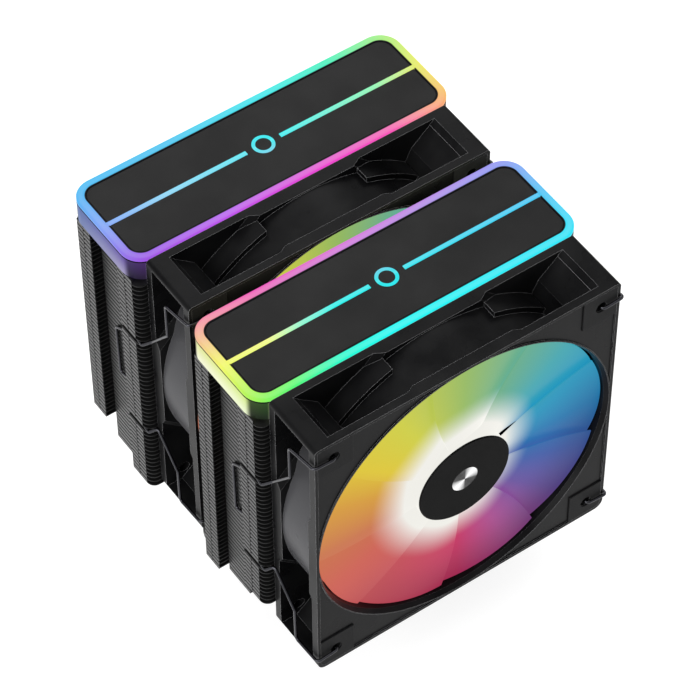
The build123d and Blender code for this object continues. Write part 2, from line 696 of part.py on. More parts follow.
with BuildPart() as stator_core:
    with BuildSketch(Plane.XY.offset(CORE_SPAN[0])):
        Circle(CORE_R)
        with PolarLocations(0, ARM_COUNT, start_angle=ARM_START):
            with Locations(((CORE_R + SHOE_IN_R) / 2, 0)):
                Rectangle(SHOE_IN_R - CORE_R + 2.0, ARM_WIDTH)
        with BuildSketch(mode=Mode.PRIVATE) as shoes:
            Circle(SHOE_R)
            Circle(SHOE_IN_R, mode=Mode.SUBTRACT)
            Rectangle(3 * SHOE_R, SHOE_GAP, mode=Mode.SUBTRACT)
            Rectangle(SHOE_GAP, 3 * SHOE_R, mode=Mode.SUBTRACT)
        add(shoes.sketch)
        Circle(TUBE_R + 0.02, mode=Mode.SUBTRACT)
    extrude(amount=CORE_SPAN[1] - CORE_SPAN[0])

with BuildPart() as coils:
    with PolarLocations(0, ARM_COUNT, start_angle=ARM_START):
        with Locations((COIL_R, 0, sum(CORE_SPAN) / 2)):
            Box(COIL_LONG, COIL_WIDTH, COIL_DEEP)
            Box(
                COIL_LONG,
                ARM_WIDTH + 2 * COIL_GAP,
                CORE_SPAN[1] - CORE_SPAN[0] + 2 * COIL_GAP,
                mode=Mode.SUBTRACT,
            )

with BuildPart() as motor_board:
    with BuildSketch(Plane.XY.offset(MOTOR_FROM - MOTOR_BOARD_THICK)):
        Circle(MOTOR_R - 0.6)
        Circle(TUBE_R + 0.1, mode=Mode.SUBTRACT)
    extrude(amount=MOTOR_BOARD_THICK)

with BuildPart() as motor_lamps:
    with BuildSketch(Plane.XY.offset(MOTOR_FROM - MOTOR_BOARD_THICK)):
        with PolarLocations(LAMP_RING_R, MOTOR_LAMPS):
            RectangleRounded(*MOTOR_LAMP_SIZE, 0.2)
    extrude(amount=-MOTOR_LAMP_HIGH)

FAN_PIECES = {
    "fan_frame": fan_frame,
    "fan_corner_pads": corner_pads,
    "fan_impeller": impeller,
    "fan_hub_cap": hub_cap,
    "fan_hub_disc": hub_disc,
    "fan_yoke": rotor_yoke,
    "fan_magnet": rotor_magnet,
    "fan_shaft": shaft,
    "fan_bush": bush,
    "fan_stator_core": stator_core,
    "fan_coils": coils,
    "fan_motor_board": motor_board,
}

for fan, spot in FAN_SPOT.items():
    for piece_name, piece in FAN_PIECES.items():
        save(piece.part, f"{fan}_{piece_name}", spot)
save(motor_lamps.part, "fan_lamps", *FAN_SPOT.values())

# ---- wire fan clips -----------------------------------------------------------------------------
# The left clip of a fan, in the fan's own depths: X and Z are the cooler's, Y runs back from the
# fan's front face. It hooks into the fan's two left holes and springs into the fins' front groove.
WIRE_R = 0.55
WIRE_BEND = 1.3
HOLE_X = HOLE_PITCH / 2
HOLE_TOP_Z = FAN_Z + HOLE_PITCH / 2
HOLE_LOW_Z = FAN_Z - HOLE_PITCH / 2
FACE_Y = -0.8
FRAME_SIDE_X = FAN_SIZE / 2 + 0.8
TOWER_MIDDLE = FAN_DEPTH + FAN_GAP + HALF_DEPTH
GROOVE_Y = TOWER_MIDDLE + (FRONT_TAB[1] + MIDDLE_TAB[0]) / 2
NOTCH_X = FIN_HALF_WIDTH - 1.0
GRIP_X = SIDE_IN + WIRE_R + 0.1
GRIP_Y = GROOVE_Y + 7.0


def gap_z(index):
    """The middle height of the gap above one fin."""
    return TOWER_BOTTOM + index * FIN_PITCH + (FIN_THICK + FIN_PITCH) / 2


UPPER_Z = gap_z(UPPER_CLIP_GAP)
LOWER_Z = gap_z(LOWER_CLIP_GAP)
CLIP_ROUTE = (
    (-HOLE_X, 5.0, HOLE_TOP_Z),
    (-HOLE_X, FACE_Y, HOLE_TOP_Z),
    (-FRAME_SIDE_X, FACE_Y, HOLE_TOP_Z + 0.5),
    (-FRAME_SIDE_X, 13.0, HOLE_TOP_Z - 3.0),
    (-FRAME_SIDE_X, 12.8, UPPER_Z + 16.0),
    (-FRAME_SIDE_X - 0.4, FAN_DEPTH - 3.0, UPPER_Z + 4.0),
    (-NOTCH_X - 0.4, FAN_DEPTH + 0.6, UPPER_Z),
    (-NOTCH_X, FAN_DEPTH + 4.0, UPPER_Z),
    (-GRIP_X, GROOVE_Y, UPPER_Z),
    (-GRIP_X, GROOVE_Y, UPPER_Z - 6.5),
    (-GRIP_X, GRIP_Y, UPPER_Z - 11.0),
    (-GRIP_X, GRIP_Y - 0.5, LOWER_Z + 12.5),
    (-GRIP_X, GROOVE_Y, LOWER_Z + 15.0),
    (-GRIP_X, GROOVE_Y, LOWER_Z),
    (-NOTCH_X, FAN_DEPTH + 4.0, LOWER_Z),
    (-NOTCH_X - 0.4, FAN_DEPTH + 0.6, LOWER_Z),
    (-FRAME_SIDE_X - 0.4, FAN_DEPTH - 2.0, LOWER_Z + 3.4),
    (-FRAME_SIDE_X, 12.2, TOWER_BOTTOM + 21.6),
    (-FRAME_SIDE_X, 11.8, TOWER_BOTTOM + 5.8),
    (-FRAME_SIDE_X, FACE_Y, HOLE_LOW_Z - 0.8),
    (-HOLE_X, FACE_Y, HOLE_LOW_Z),
    (-HOLE_X, 5.0, HOLE_LOW_Z),
)

with BuildPart() as left_clip:
    with BuildLine() as wire:
        FilletPolyline(*CLIP_ROUTE, radius=WIRE_BEND)
    with BuildSketch(Plane(wire.line @ 0, z_dir=wire.line % 0)):
        Circle(WIRE_R)
    sweep()

with BuildPart() as right_clip:
    add(mirror(left_clip.part, about=Plane.YZ, mode=Mode.PRIVATE))

for fan, tower in (("front", "front"), ("middle", "rear")):
    spot = Location((0, fan_front(tower), 0))
    save(left_clip.part, f"{fan}_fan_clip_left", spot)
    save(right_clip.part, f"{fan}_fan_clip_right", spot)

# ---- mounting bar with its captive sprung screws ------------------------------------------------
SCREW_PITCH = 83.0
BAR_LENGTH = 104.0
BAR_WIDTH = 16.0
BAR_THICK = 2.5
BAR_TOP = BLOCK_TOP + BAR_THICK
BAR_SCREW_HEAD_R = 2.8
BAR_SCREW_HEAD_HIGH = 2.0
BAR_SCREW_IN_BLOCK = 5.0
BAR_SCREW_RECESS = (3.0, 0.7, 1.1)  # length, width and depth
SCREW_TRAVEL = 3.0
THREAD_R = 1.9
SLEEVE_R = 2.5
SLEEVE_BORE = THREAD_R + 0.06
SEAT_R = 4.4
SEAT_Z = 28.4
SEAT_THICK = 0.8
LIP_R_SLEEVE = 3.6
LIP_THICK = 1.0
SCREW_TIP = SCREW_TRAVEL + 0.3
HEAD_R = 4.6
HEAD_HIGH = 5.0
HEAD_FROM = SEAT_Z + 0.06
HEAD_RECESS = (5.4, 1.1, 2.4)  # length, width and depth
COLLAR_R = 2.7
COLLAR_THICK = 0.8
LIP_TOP = BLOCK_TOP - 0.1
SPRING_R = 3.55
SPRING_WIRE_R = 0.45
SPRING_TURNS = 5

with BuildPart() as mounting_bar:
    with BuildSketch(Plane.XY.offset(BLOCK_TOP)):
        SlotOverall(BAR_LENGTH, BAR_WIDTH)
        with Locations((-SCREW_PITCH / 2, 0), (SCREW_PITCH / 2, 0)):
            Circle(SLEEVE_R + 0.08, mode=Mode.SUBTRACT)
        with Locations((-BAR_SCREW_X, 0), (BAR_SCREW_X, 0)):
            Circle(BAR_SCREW_R + 0.15, mode=Mode.SUBTRACT)
    extrude(amount=BAR_THICK)
    chamfer(mounting_bar.faces().sort_by(Axis.Z)[-1].outer_wire().edges(), 0.4)
save(mounting_bar.part, "mounting_bar")

with BuildPart() as bar_screws:
    with BuildSketch(Plane.XY.offset(BAR_TOP)):
        with Locations((-BAR_SCREW_X, 0), (BAR_SCREW_X, 0)):
            Circle(BAR_SCREW_HEAD_R)
    extrude(amount=BAR_SCREW_HEAD_HIGH)
    fillet(bar_screws.faces().sort_by(Axis.Z)[-1].edges(), 0.8)
    with BuildSketch(Plane.XY.offset(BAR_TOP)):
        with Locations((-BAR_SCREW_X, 0), (BAR_SCREW_X, 0)):
            Circle(BAR_SCREW_R - 0.02)
    extrude(amount=-(BAR_THICK + BAR_SCREW_IN_BLOCK))
    with BuildSketch(Plane.XY.offset(BAR_TOP + BAR_SCREW_HEAD_HIGH)):
        with Locations((-BAR_SCREW_X, 0), (BAR_SCREW_X, 0)):
            Rectangle(*BAR_SCREW_RECESS[:2])
            Rectangle(*reversed(BAR_SCREW_RECESS[:2]))
    extrude(amount=-BAR_SCREW_RECESS[2], mode=Mode.SUBTRACT)
save(bar_screws.part, "bar_screws")

with BuildPart() as screw_sleeve:
    with BuildSketch(Plane.XY.offset(LIP_TOP - LIP_THICK)):
        Circle(LIP_R_SLEEVE)
    extrude(amount=LIP_THICK)
    with BuildSketch(Plane.XY.offset(LIP_TOP - LIP_THICK)):
        Circle(SLEEVE_R)
    extrude(amount=SEAT_Z - LIP_TOP + LIP_THICK)
    with BuildSketch(Plane.XY.offset(SEAT_Z)):
        Circle(SEAT_R)
    extrude(amount=-SEAT_THICK)
    with BuildSketch():
        Circle(SLEEVE_BORE)
    extrude(amount=SEAT_Z, mode=Mode.SUBTRACT)

with BuildPart() as captive_screw:
    with BuildSketch(Plane.XY.offset(SCREW_TIP)):
        Circle(THREAD_R)
    extrude(amount=SEAT_Z - SCREW_TIP + 1.0)
    chamfer(captive_screw.faces().sort_by(Axis.Z)[0].edges(), 0.5)
    with BuildSketch(Plane.XY.offset(LIP_TOP - LIP_THICK - 0.1)):
        Circle(COLLAR_R)
    extrude(amount=-COLLAR_THICK)
    with BuildSketch(Plane.XY.offset(HEAD_FROM)):
        Circle(HEAD_R)
    extrude(amount=HEAD_HIGH)
    fillet(captive_screw.faces().sort_by(Axis.Z)[-1].edges(), 0.6)
    with BuildSketch(Plane.XY.offset(HEAD_FROM + HEAD_HIGH)):
        Rectangle(*HEAD_RECESS[:2])
        Rectangle(*reversed(HEAD_RECESS[:2]))
    extrude(amount=-HEAD_RECESS[2], mode=Mode.SUBTRACT)

with BuildPart() as screw_spring:
    spring_low = BAR_TOP + SPRING_WIRE_R + 0.02
    spring_high = SEAT_Z - SEAT_THICK - SPRING_WIRE_R - 0.02
    with BuildLine() as coil:
        Helix(
            pitch=(spring_high - spring_low) / SPRING_TURNS,
            height=spring_high - spring_low,
            radius=SPRING_R,
            center=(0, 0, spring_low),
        )
    with BuildSketch(Plane(coil.line @ 0, z_dir=coil.line % 0)):
        Circle(SPRING_WIRE_R)
    sweep(is_frenet=True)

for side, x in (("left", -SCREW_PITCH / 2), ("right", SCREW_PITCH / 2)):
    spot = Location((x, 0, 0))
    save(screw_sleeve.part, f"{side}_screw_sleeve", spot)
    save(captive_screw.part, f"{side}_captive_screw", spot)
    save(screw_spring.part, f"{side}_screw_spring", spot)
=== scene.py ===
"""The looks of a twin-tower processor air cooler around its CAD frame: materials with their own
grain and glow, rounded edges, coil springs, a pale studio floor, soft light and the camera.

Metres, in the CAD's own frame: +Z up, the front fan faces -Y, the covers' long sides run along X.
"""

import json
import math

import bmesh
import bpy
from mathutils import Matrix, Vector


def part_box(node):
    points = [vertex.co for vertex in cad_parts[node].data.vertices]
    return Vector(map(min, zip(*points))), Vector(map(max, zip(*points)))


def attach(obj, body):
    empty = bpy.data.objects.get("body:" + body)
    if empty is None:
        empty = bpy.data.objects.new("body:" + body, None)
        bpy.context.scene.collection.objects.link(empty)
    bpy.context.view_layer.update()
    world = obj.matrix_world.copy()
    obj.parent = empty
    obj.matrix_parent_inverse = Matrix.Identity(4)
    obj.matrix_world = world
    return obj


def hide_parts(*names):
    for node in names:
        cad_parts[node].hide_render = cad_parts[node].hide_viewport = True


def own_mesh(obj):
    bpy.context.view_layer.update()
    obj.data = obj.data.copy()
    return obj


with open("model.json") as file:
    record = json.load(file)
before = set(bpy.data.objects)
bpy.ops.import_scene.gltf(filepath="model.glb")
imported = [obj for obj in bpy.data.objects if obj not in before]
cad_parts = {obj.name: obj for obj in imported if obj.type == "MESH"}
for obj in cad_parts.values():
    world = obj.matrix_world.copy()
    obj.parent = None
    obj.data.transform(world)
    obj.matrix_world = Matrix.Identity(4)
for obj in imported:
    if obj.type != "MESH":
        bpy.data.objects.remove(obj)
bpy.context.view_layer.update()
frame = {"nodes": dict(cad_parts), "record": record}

MM = 0.001
WHITE = (1.0, 1.0, 1.0, 1.0)
BLACK = (0.0, 0.0, 0.0, 1.0)
# The black of a cover's seam band, which is partly painted shade, and of its dark corners.
SEAM_BLACK = (0.004, 0.004, 0.005, 1.0)


# ---- places read from the frame -----------------------------------------------------------------
def half_width(node):
    """Half of a node's extent along X."""
    low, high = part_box(node)
    return (high.x - low.x) / 2


FAN_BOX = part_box("front_fan_frame")
FAN_CENTRE_Z = (FAN_BOX[0].z + FAN_BOX[1].z) / 2
HUB_R = half_width("front_fan_hub_cap")
BLADE_R = half_width("front_fan_impeller")
BARREL_OUTSIDE = (59.1 * MM, 59.8 * MM)  # radii that hold the outer face of a fan's barrel

COVER = {name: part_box(f"{name}_cover_light_guide") for name in ("front", "rear")}
RIM_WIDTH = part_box("front_cover_panel")[0].x - COVER["front"][0].x
COVER_CORNER = 8.0 * MM  # the radius of a cover's upright corners
SEAM_HIGH = 1.2 * MM  # from a cover's top down to the dark band round its side: the seam, widened by painted shade
SEAM_LOW = 1.85 * MM  # and down to where that dark band ends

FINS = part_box("front_fins")
FIN_START = FINS[0].z
FIN_COUNT = 51
FIN_GAP = 0.12 * MM  # between a fin's folded edge and the next fin
FIN_PITCH = (FINS[1].z - FIN_START + FIN_GAP) / FIN_COUNT

# ---- camera -------------------------------------------------------------------------------------
CAMERA_PLACE = (-0.42602, -0.62633, 1.02182)
CAMERA_AZIMUTH = math.radians(-34.846)
CAMERA_ELEVATION = math.radians(50.993)
CAMERA_ROLL = math.radians(-0.295)
CAMERA_LENS = 180.27
CAMERA_SENSOR = 36.0
CAMERA_REACH = 50.0


def make_camera():
    """A long lens looking down on the near left corner of the cooler."""
    data = bpy.data.cameras.new("camera")
    data.lens = CAMERA_LENS
    data.sensor_width = CAMERA_SENSOR
    data.clip_end = CAMERA_REACH
    camera = bpy.data.objects.new("camera", data)
    bpy.context.scene.collection.objects.link(camera)
    turn = Matrix.Rotation(CAMERA_AZIMUTH, 4, "Z")
    tilt = Matrix.Rotation(math.pi / 2 - CAMERA_ELEVATION, 4, "X")
    roll = Matrix.Rotation(CAMERA_ROLL, 4, "Z")
    camera.matrix_world = Matrix.Translation(CAMERA_PLACE) @ turn @ tilt @ roll
    bpy.context.scene.camera = camera


make_camera()

# ---- floor and light ----------------------------------------------------------------------------
FLOOR_HALF = 6.0
FLOOR_GREY = (0.4, 0.4, 0.4, 1.0)
FLOOR_ROUGHNESS = 0.9
FLOOR_GLOW = 0.75
SKY_GLOW = 0.6

# Name, place, target, width, height and watts.
LIGHTS = [
    ("left_softbox", (-1.5, -0.3, 0.8), (0, 0, 0.08), 1.3, 1.2, 25.0),
    ("back_softbox", (0.3, 1.4, 1.3), (0, 0, 0.1), 1.6, 0.9, 16.0),
    ("top_softbox", (0.0, -0.1, 1.9), (0, 0, 0.1), 1.4, 1.4, 12.0),
]


def make_floor():
    """A plain near-white floor, far wider than the view."""
    mesh = bpy.data.meshes.new("floor")
    corners = [
        (-FLOOR_HALF, -FLOOR_HALF, 0),
        (FLOOR_HALF, -FLOOR_HALF, 0),
        (FLOOR_HALF, FLOOR_HALF, 0),
        (-FLOOR_HALF, FLOOR_HALF, 0),
    ]
    mesh.from_pydata(corners, [], [(0, 1, 2, 3)])
    floor = bpy.data.objects.new("floor", mesh)
    bpy.context.scene.collection.objects.link(floor)
    material = bpy.data.materials.new("floor")
    material.use_nodes = True
    surface = material.node_tree.nodes["Principled BSDF"]
    surface.inputs["Base Color"].default_value = FLOOR_GREY
    surface.inputs["Roughness"].default_value = FLOOR_ROUGHNESS
    surface.inputs["Specular IOR Level"].default_value = 0.0
    # A white sheet lit from below as well, so that shadows on it stay faint.
    surface.inputs["Emission Color"].default_value = WHITE
    surface.inputs["Emission Strength"].default_value = FLOOR_GLOW
    mesh.materials.append(material)


def make_light(name, place, target, width, height, power):
    """A soft rectangular studio light that points at a target."""
    data = bpy.data.lights.new(name, "AREA")
    data.shape = "RECTANGLE"
    data.size = width
    data.size_y = height
    data.energy = power
    light = bpy.data.objects.new(name, data)
    bpy.context.scene.collection.objects.link(light)
    light.location = place
    light.rotation_euler = (Vector(target) - Vector(place)).to_track_quat("-Z", "Y").to_euler()


def make_sky():
    """An even white sky."""
    world = bpy.data.worlds.new("studio")
    world.use_nodes = True
    background = world.node_tree.nodes["Background"]
    background.inputs["Color"].default_value = WHITE
    background.inputs["Strength"].default_value = SKY_GLOW
    bpy.context.scene.world = world


make_floor()
make_sky()
for settings in LIGHTS:
    make_light(*settings)
bpy.context.scene.view_settings.view_transform = "Standard"


# ---- a short way to write shaders ---------------------------------------------------------------
def colour(code):
    """A web colour such as "#80ff00" as linear RGBA."""
    channels = [int(code[i : i + 2], 16) / 255 for i in (1, 3, 5)]
    linear = [c / 12.92 if c <= 0.04045 else ((c + 0.055) / 1.055) ** 2.4 for c in channels]
    return (*linear, 1.0)


class Shader:
    """A material with one Principled surface, and short calls that add nodes to it."""

    BEVEL_SAMPLES = 6
    EDGE_ALIKE = (0.995, 0.86)  # flat and rounded normals' product on a face and on an edge

    def __init__(self, name, base, roughness, metallic=0.0, specular=0.5, coat=0.0):
        self.material = bpy.data.materials.new(name)
        self.material.use_nodes = True
        self.tree = self.material.node_tree
        self.surface = self.tree.nodes["Principled BSDF"]
        self.set("Base Color", colour(base))
        self.set("Roughness", roughness)
        self.set("Metallic", metallic)
        self.set("Specular IOR Level", specular)
        self.set("Coat Weight", coat)
        self.normal = None

    def set(self, socket, value):
        self.surface.inputs[socket].default_value = value

    def feed(self, value, socket):
        self.tree.links.new(value, self.surface.inputs[socket])

    def plug(self, value, socket):
        """Gives a node's input either another node's output or a fixed value."""
        if isinstance(value, bpy.types.NodeSocket):
            self.tree.links.new(value, socket)
        else:
            socket.default_value = value

    def node(self, kind, inputs, **settings):
        """A new node with its properties set and its inputs, by name or number, plugged in."""
        made = self.tree.nodes.new("ShaderNode" + kind)
        for key, value in settings.items():
            setattr(made, key, value)
        for key, value in inputs.items():
            self.plug(value, made.inputs[key])
        return made

    def math(self, operation, *values):
        return self.node("Math", dict(enumerate(values)), operation=operation).outputs[0]

    def where(self):
        """The point of the surface in the CAD's frame, as a vector."""
        return self.node("TexCoord", {}).outputs["Object"]

    def split(self, vector):
        """A vector's X, Y and Z."""
        return self.node("SeparateXYZ", {0: vector}).outputs

    def polar(self):
        """The angle and the distance about a fan's axis; the angle is 0 to +X, positive upward."""
        x, _, z = self.split(self.where())
        up = self.math("SUBTRACT", z, FAN_CENTRE_Z)
        squares = self.math("MULTIPLY_ADD", x, x, self.math("MULTIPLY", up, up))
        return self.math("ARCTAN2", up, x), self.math("SQRT", squares)

    def noise(self, scale, detail=2.0, stretch=None):
        """Noise in the object's own space; scale is in features per metre."""
        where = self.where()
        if stretch:
            where = self.node("Mapping", {"Vector": where, "Scale": stretch}).outputs[0]
        inputs = {"Vector": where, "Scale": scale, "Detail": detail}
        return self.node("TexNoise", inputs).outputs["Fac"]

    def span(self, value, low, high, to_low=0.0, to_high=1.0, smooth=False):
        """A value moved from one range to another, and held there."""
        inputs = {0: value, 1: low, 2: high, 3: to_low, 4: to_high}
        kind = "SMOOTHSTEP" if smooth else "LINEAR"
        return self.node("MapRange", inputs, interpolation_type=kind).outputs[0]

    def ramp(self, value, stops):
        """Colours along a value from 0 to 1: stops are (place, web colour) pairs."""
        made = self.node("ValToRGB", {0: value})
        elements = made.color_ramp.elements
        for i, (place, code) in enumerate(stops):
            stop = elements[i] if i < 2 else elements.new(place)
            stop.position = place
            stop.color = colour(code)
        return made.outputs[0]

    def mix(self, share, first, second):
        """Two colours, with that share of the second."""
        made = self.node("Mix", {}, data_type="RGBA")
        self.plug(share, made.inputs[0])
        self.plug(first, made.inputs[6])
        self.plug(second, made.inputs[7])
        return made.outputs[2]

    def soften(self, radius):
        """Edges that catch the light as if rounded to that radius."""
        bevel = self.node("Bevel", {"Radius": radius}, samples=self.BEVEL_SAMPLES)
        self.normal = bevel.outputs[0]
        self.feed(self.normal, "Normal")

    def facing(self):
        """The flat surface's own normal."""
        return self.node("NewGeometry", {}).outputs["Normal"]

    def edges(self):
        """How far the rounded surface leans from the flat one: 1 on an edge, 0 on a face."""
        inputs = {0: self.normal, 1: self.facing()}
        alike = self.node("VectorMath", inputs, operation="DOT_PRODUCT")
        return self.span(alike.outputs["Value"], *self.EDGE_ALIKE)

    def bump(self, height, depth):
        """Relief of that depth, on top of what is there already."""
        inputs = {"Height": height, "Distance": depth, "Strength": 1.0}
        if self.normal:
            inputs["Normal"] = self.normal
        self.normal = self.node("Bump", inputs).outputs[0]
        self.feed(self.normal, "Normal")


# ---- plastics, sheet and plain metals -----------------------------------------------------------
CLOUD_SCALE = 60.0
EDGE_HIGHLIGHT = "#b0b0b2"  # the painted highlight that an edge's colour tends to
BARREL_PAINTED_LIGHT = "#404042"
CREASE_SHADE = "#020202"
MILKY_GRAIN = 0.01 * MM  # relief of the lit plastics


def moulded_plastic(
    name,
    base,
    roughness,
    grain=9000.0,
    depth=0.03 * MM,
    edge=0.12 * MM,
    specular=0.1,
    edge_highlight=0.1,
    uneven=0.06,
):
    """Matt moulded plastic: spark-eroded grain, faint cloudiness, and softened edges lightened by a
    painted highlight. Grain is in pits per metre; uneven is how far the roughness strays."""
    made = Shader(name, base, roughness, specular=specular)
    cloud = made.noise(CLOUD_SCALE, 3.0)
    made.feed(made.span(cloud, 0.3, 0.7, roughness - uneven, roughness + uneven), "Roughness")
    lighter = made.mix(0.02, colour(base), WHITE)
    clouded = made.mix(made.span(cloud, 0.35, 0.75, 0.0, 0.3), colour(base), lighter)
    made.soften(edge)
    highlighted_edges = made.math("MULTIPLY", made.edges(), edge_highlight)
    # Painted highlight: the softened edges are lightened toward a pale grey.
    made.feed(made.mix(highlighted_edges, clouded, colour(EDGE_HIGHLIGHT)), "Base Color")
    made.bump(made.noise(grain, 2.0), depth)
    return made


def fan_frame(name):
    """The frame's plastic, with painted light: both flanks of its barrel are painted paler, as if
    lit from the side.
    """
    made = moulded_plastic(
        name, "#0a0a0b", 0.3, grain=5000.0, depth=0.01 * MM, specular=0.055, edge_highlight=0.8
    )
    _, radius = made.polar()
    sideways = made.math("ABSOLUTE", made.split(made.facing())[0])
    flank = made.span(sideways, 0.6, 0.98, smooth=True)
    outside = made.math("GREATER_THAN", radius, BARREL_OUTSIDE[0])
    within = made.math("LESS_THAN", radius, BARREL_OUTSIDE[1])
    # Painted light: the barrel's outer faces that look sideways are lightened toward a paler grey.
    barrel = made.math("MULTIPLY", made.math("MULTIPLY", flank, outside), within)
    plain = made.surface.inputs["Base Color"].links[0].from_socket
    made.feed(made.mix(barrel, plain, colour(BARREL_PAINTED_LIGHT)), "Base Color")
    return made


def coated_sheet(name, base, roughness, specular=0.6):
    """Thin metal sheet under black coating: satin, with rolling lines along X."""
    depth = 0.02 * MM
    made = Shader(name, base, roughness, specular=specular)
    rolled = made.noise(700.0, 3.0, stretch=(0.12, 1.0, 1.0))
    made.feed(made.span(rolled, 0.3, 0.7, roughness - 0.08, roughness + 0.1), "Roughness")
    made.bump(rolled, depth)
    made.bump(made.noise(6000.0, 1.0), depth)
    return made


def folded_fins(name, base, roughness):
    """Coated fins: each folded edge is rounded over, with a painted shade line in the crease
    between it and the next.
    """
    made = coated_sheet(name, base, roughness, specular=0.38)
    _, _, z = made.split(made.where())
    above = made.math("DIVIDE", made.math("SUBTRACT", z, FIN_START), FIN_PITCH)
    part = made.math("FRACT", above)
    from_middle = made.math("ABSOLUTE", made.math("SUBTRACT", part, 0.5))
    groove = made.span(from_middle, 0.24, 0.42, smooth=True)
    # Painted shade: the base colour darkens to near black in the crease between folded edges.
    made.feed(made.mix(groove, colour(base), colour(CREASE_SHADE)), "Base Color")
    made.feed(made.span(groove, 0.0, 1.0, roughness, 0.8), "Roughness")
    made.bump(groove, -0.3 * MM)
    return made


def metal(name, base, roughness):
    """Bare metal with fine working marks."""
    made = Shader(name, base, roughness, metallic=1.0)
    marks = made.noise(900.0, 4.0)
    made.feed(made.span(marks, 0.3, 0.7, roughness * 0.75, roughness * 1.3), "Roughness")
    made.soften(0.15 * MM)
    made.bump(marks, 0.015 * MM)
    return made


# ---- the covers' light guides -------------------------------------------------------------------
CONTOUR_BLACK = (0.006, 0.006, 0.008, 1.0)
SIDE_PALE = (1.0, 1.0, 0.97, 1.0)

# The rim's pale core, in widths of the rim from the cover's outline, and how far it fades to white.
CORE_MIDDLE = 0.45
CORE_FADE = (0.1, 0.4)
CORE_PALE = 0.06
# The same for the line across the middle of a cover, from the middle of that line.
LINE_FADE = (0.2 * MM, 0.8 * MM)
LINE_PALE = 0.07
LINE_HALF = 0.85 * MM
# The dark line round the panel: where it starts and is full, outside the panel, and its overlap.
CONTOUR_START = 0.55 * MM
CONTOUR_FULL = 0.4 * MM
CONTOUR_OVERLAP = 0.05 * MM
# The sides shade from under the top to over the bottom, and darken into their corners.
SIDE_FROM = 2.0 * MM
SIDE_TO = 1.0 * MM
CORNER_FADE = (1.0 * MM, 3.6 * MM)

# Each cover's colours along X, at its back, middle and front. side_tint is what its sides tend to,
# by tint_share, and side_shade their brightness. side_pale is how far they fade to white under the
# seam and at the bottom, in front; at the back that is scaled by pale_back. corner_dark is how far
# the corners fade to black under the seam and at the bottom.
GUIDES = {
    "front": {
        "back": [
            (0.0, "#f494a4"),
            (0.2, "#f048b8"),
            (0.5, "#d86cdc"),
            (0.75, "#b888e6"),
            (1.0, "#8c98f4"),
        ],
        "middle": [
            (0.0, "#f2f868"),
            (0.14, "#f4fa88"),
            (0.24, "#90f6d0"),
            (0.34, "#20f0ea"),
            (1.0, "#4cc4f4"),
        ],
        "front": [
            (0.0, "#90f450"),
            (0.12, "#48f878"),
            (0.28, "#10f8d4"),
            (0.4, "#18f8f2"),
            (1.0, "#30e4f8"),
        ],
        "side_tint": "#d4e670",
        "tint_share": 0.8,
        "side_shade": 0.95,
        "side_pale": (0.12, 0.55),
        "pale_back": 1.0,
        "corner_dark": (0.93, 0.985),
    },
    "rear": {
        "back": [
            (0.0, "#3cbcf4"),
            (0.3, "#40c4f0"),
            (0.6, "#38e8ec"),
            (0.8, "#34f0bc"),
            (1.0, "#a8f078"),
        ],
        "middle": [
            (0.0, "#84a4f6"),
            (0.2, "#90d8f6"),
            (0.55, "#34eef0"),
            (0.85, "#90f4b4"),
            (1.0, "#ecea58"),
        ],
        "front": [
            (0.0, "#9a54e4"),
            (0.3, "#c04cec"),
            (0.6, "#f036cc"),
            (0.8, "#fa4cb4"),
            (1.0, "#fcb464"),
        ],
        "side_tint": "#7c5cd4",
        "tint_share": 0.5,
        "side_shade": 0.45,
        "side_pale": (0.0, 0.26),
        "pale_back": 0.1,
        "corner_dark": (0.85, 0.96),
    },
}


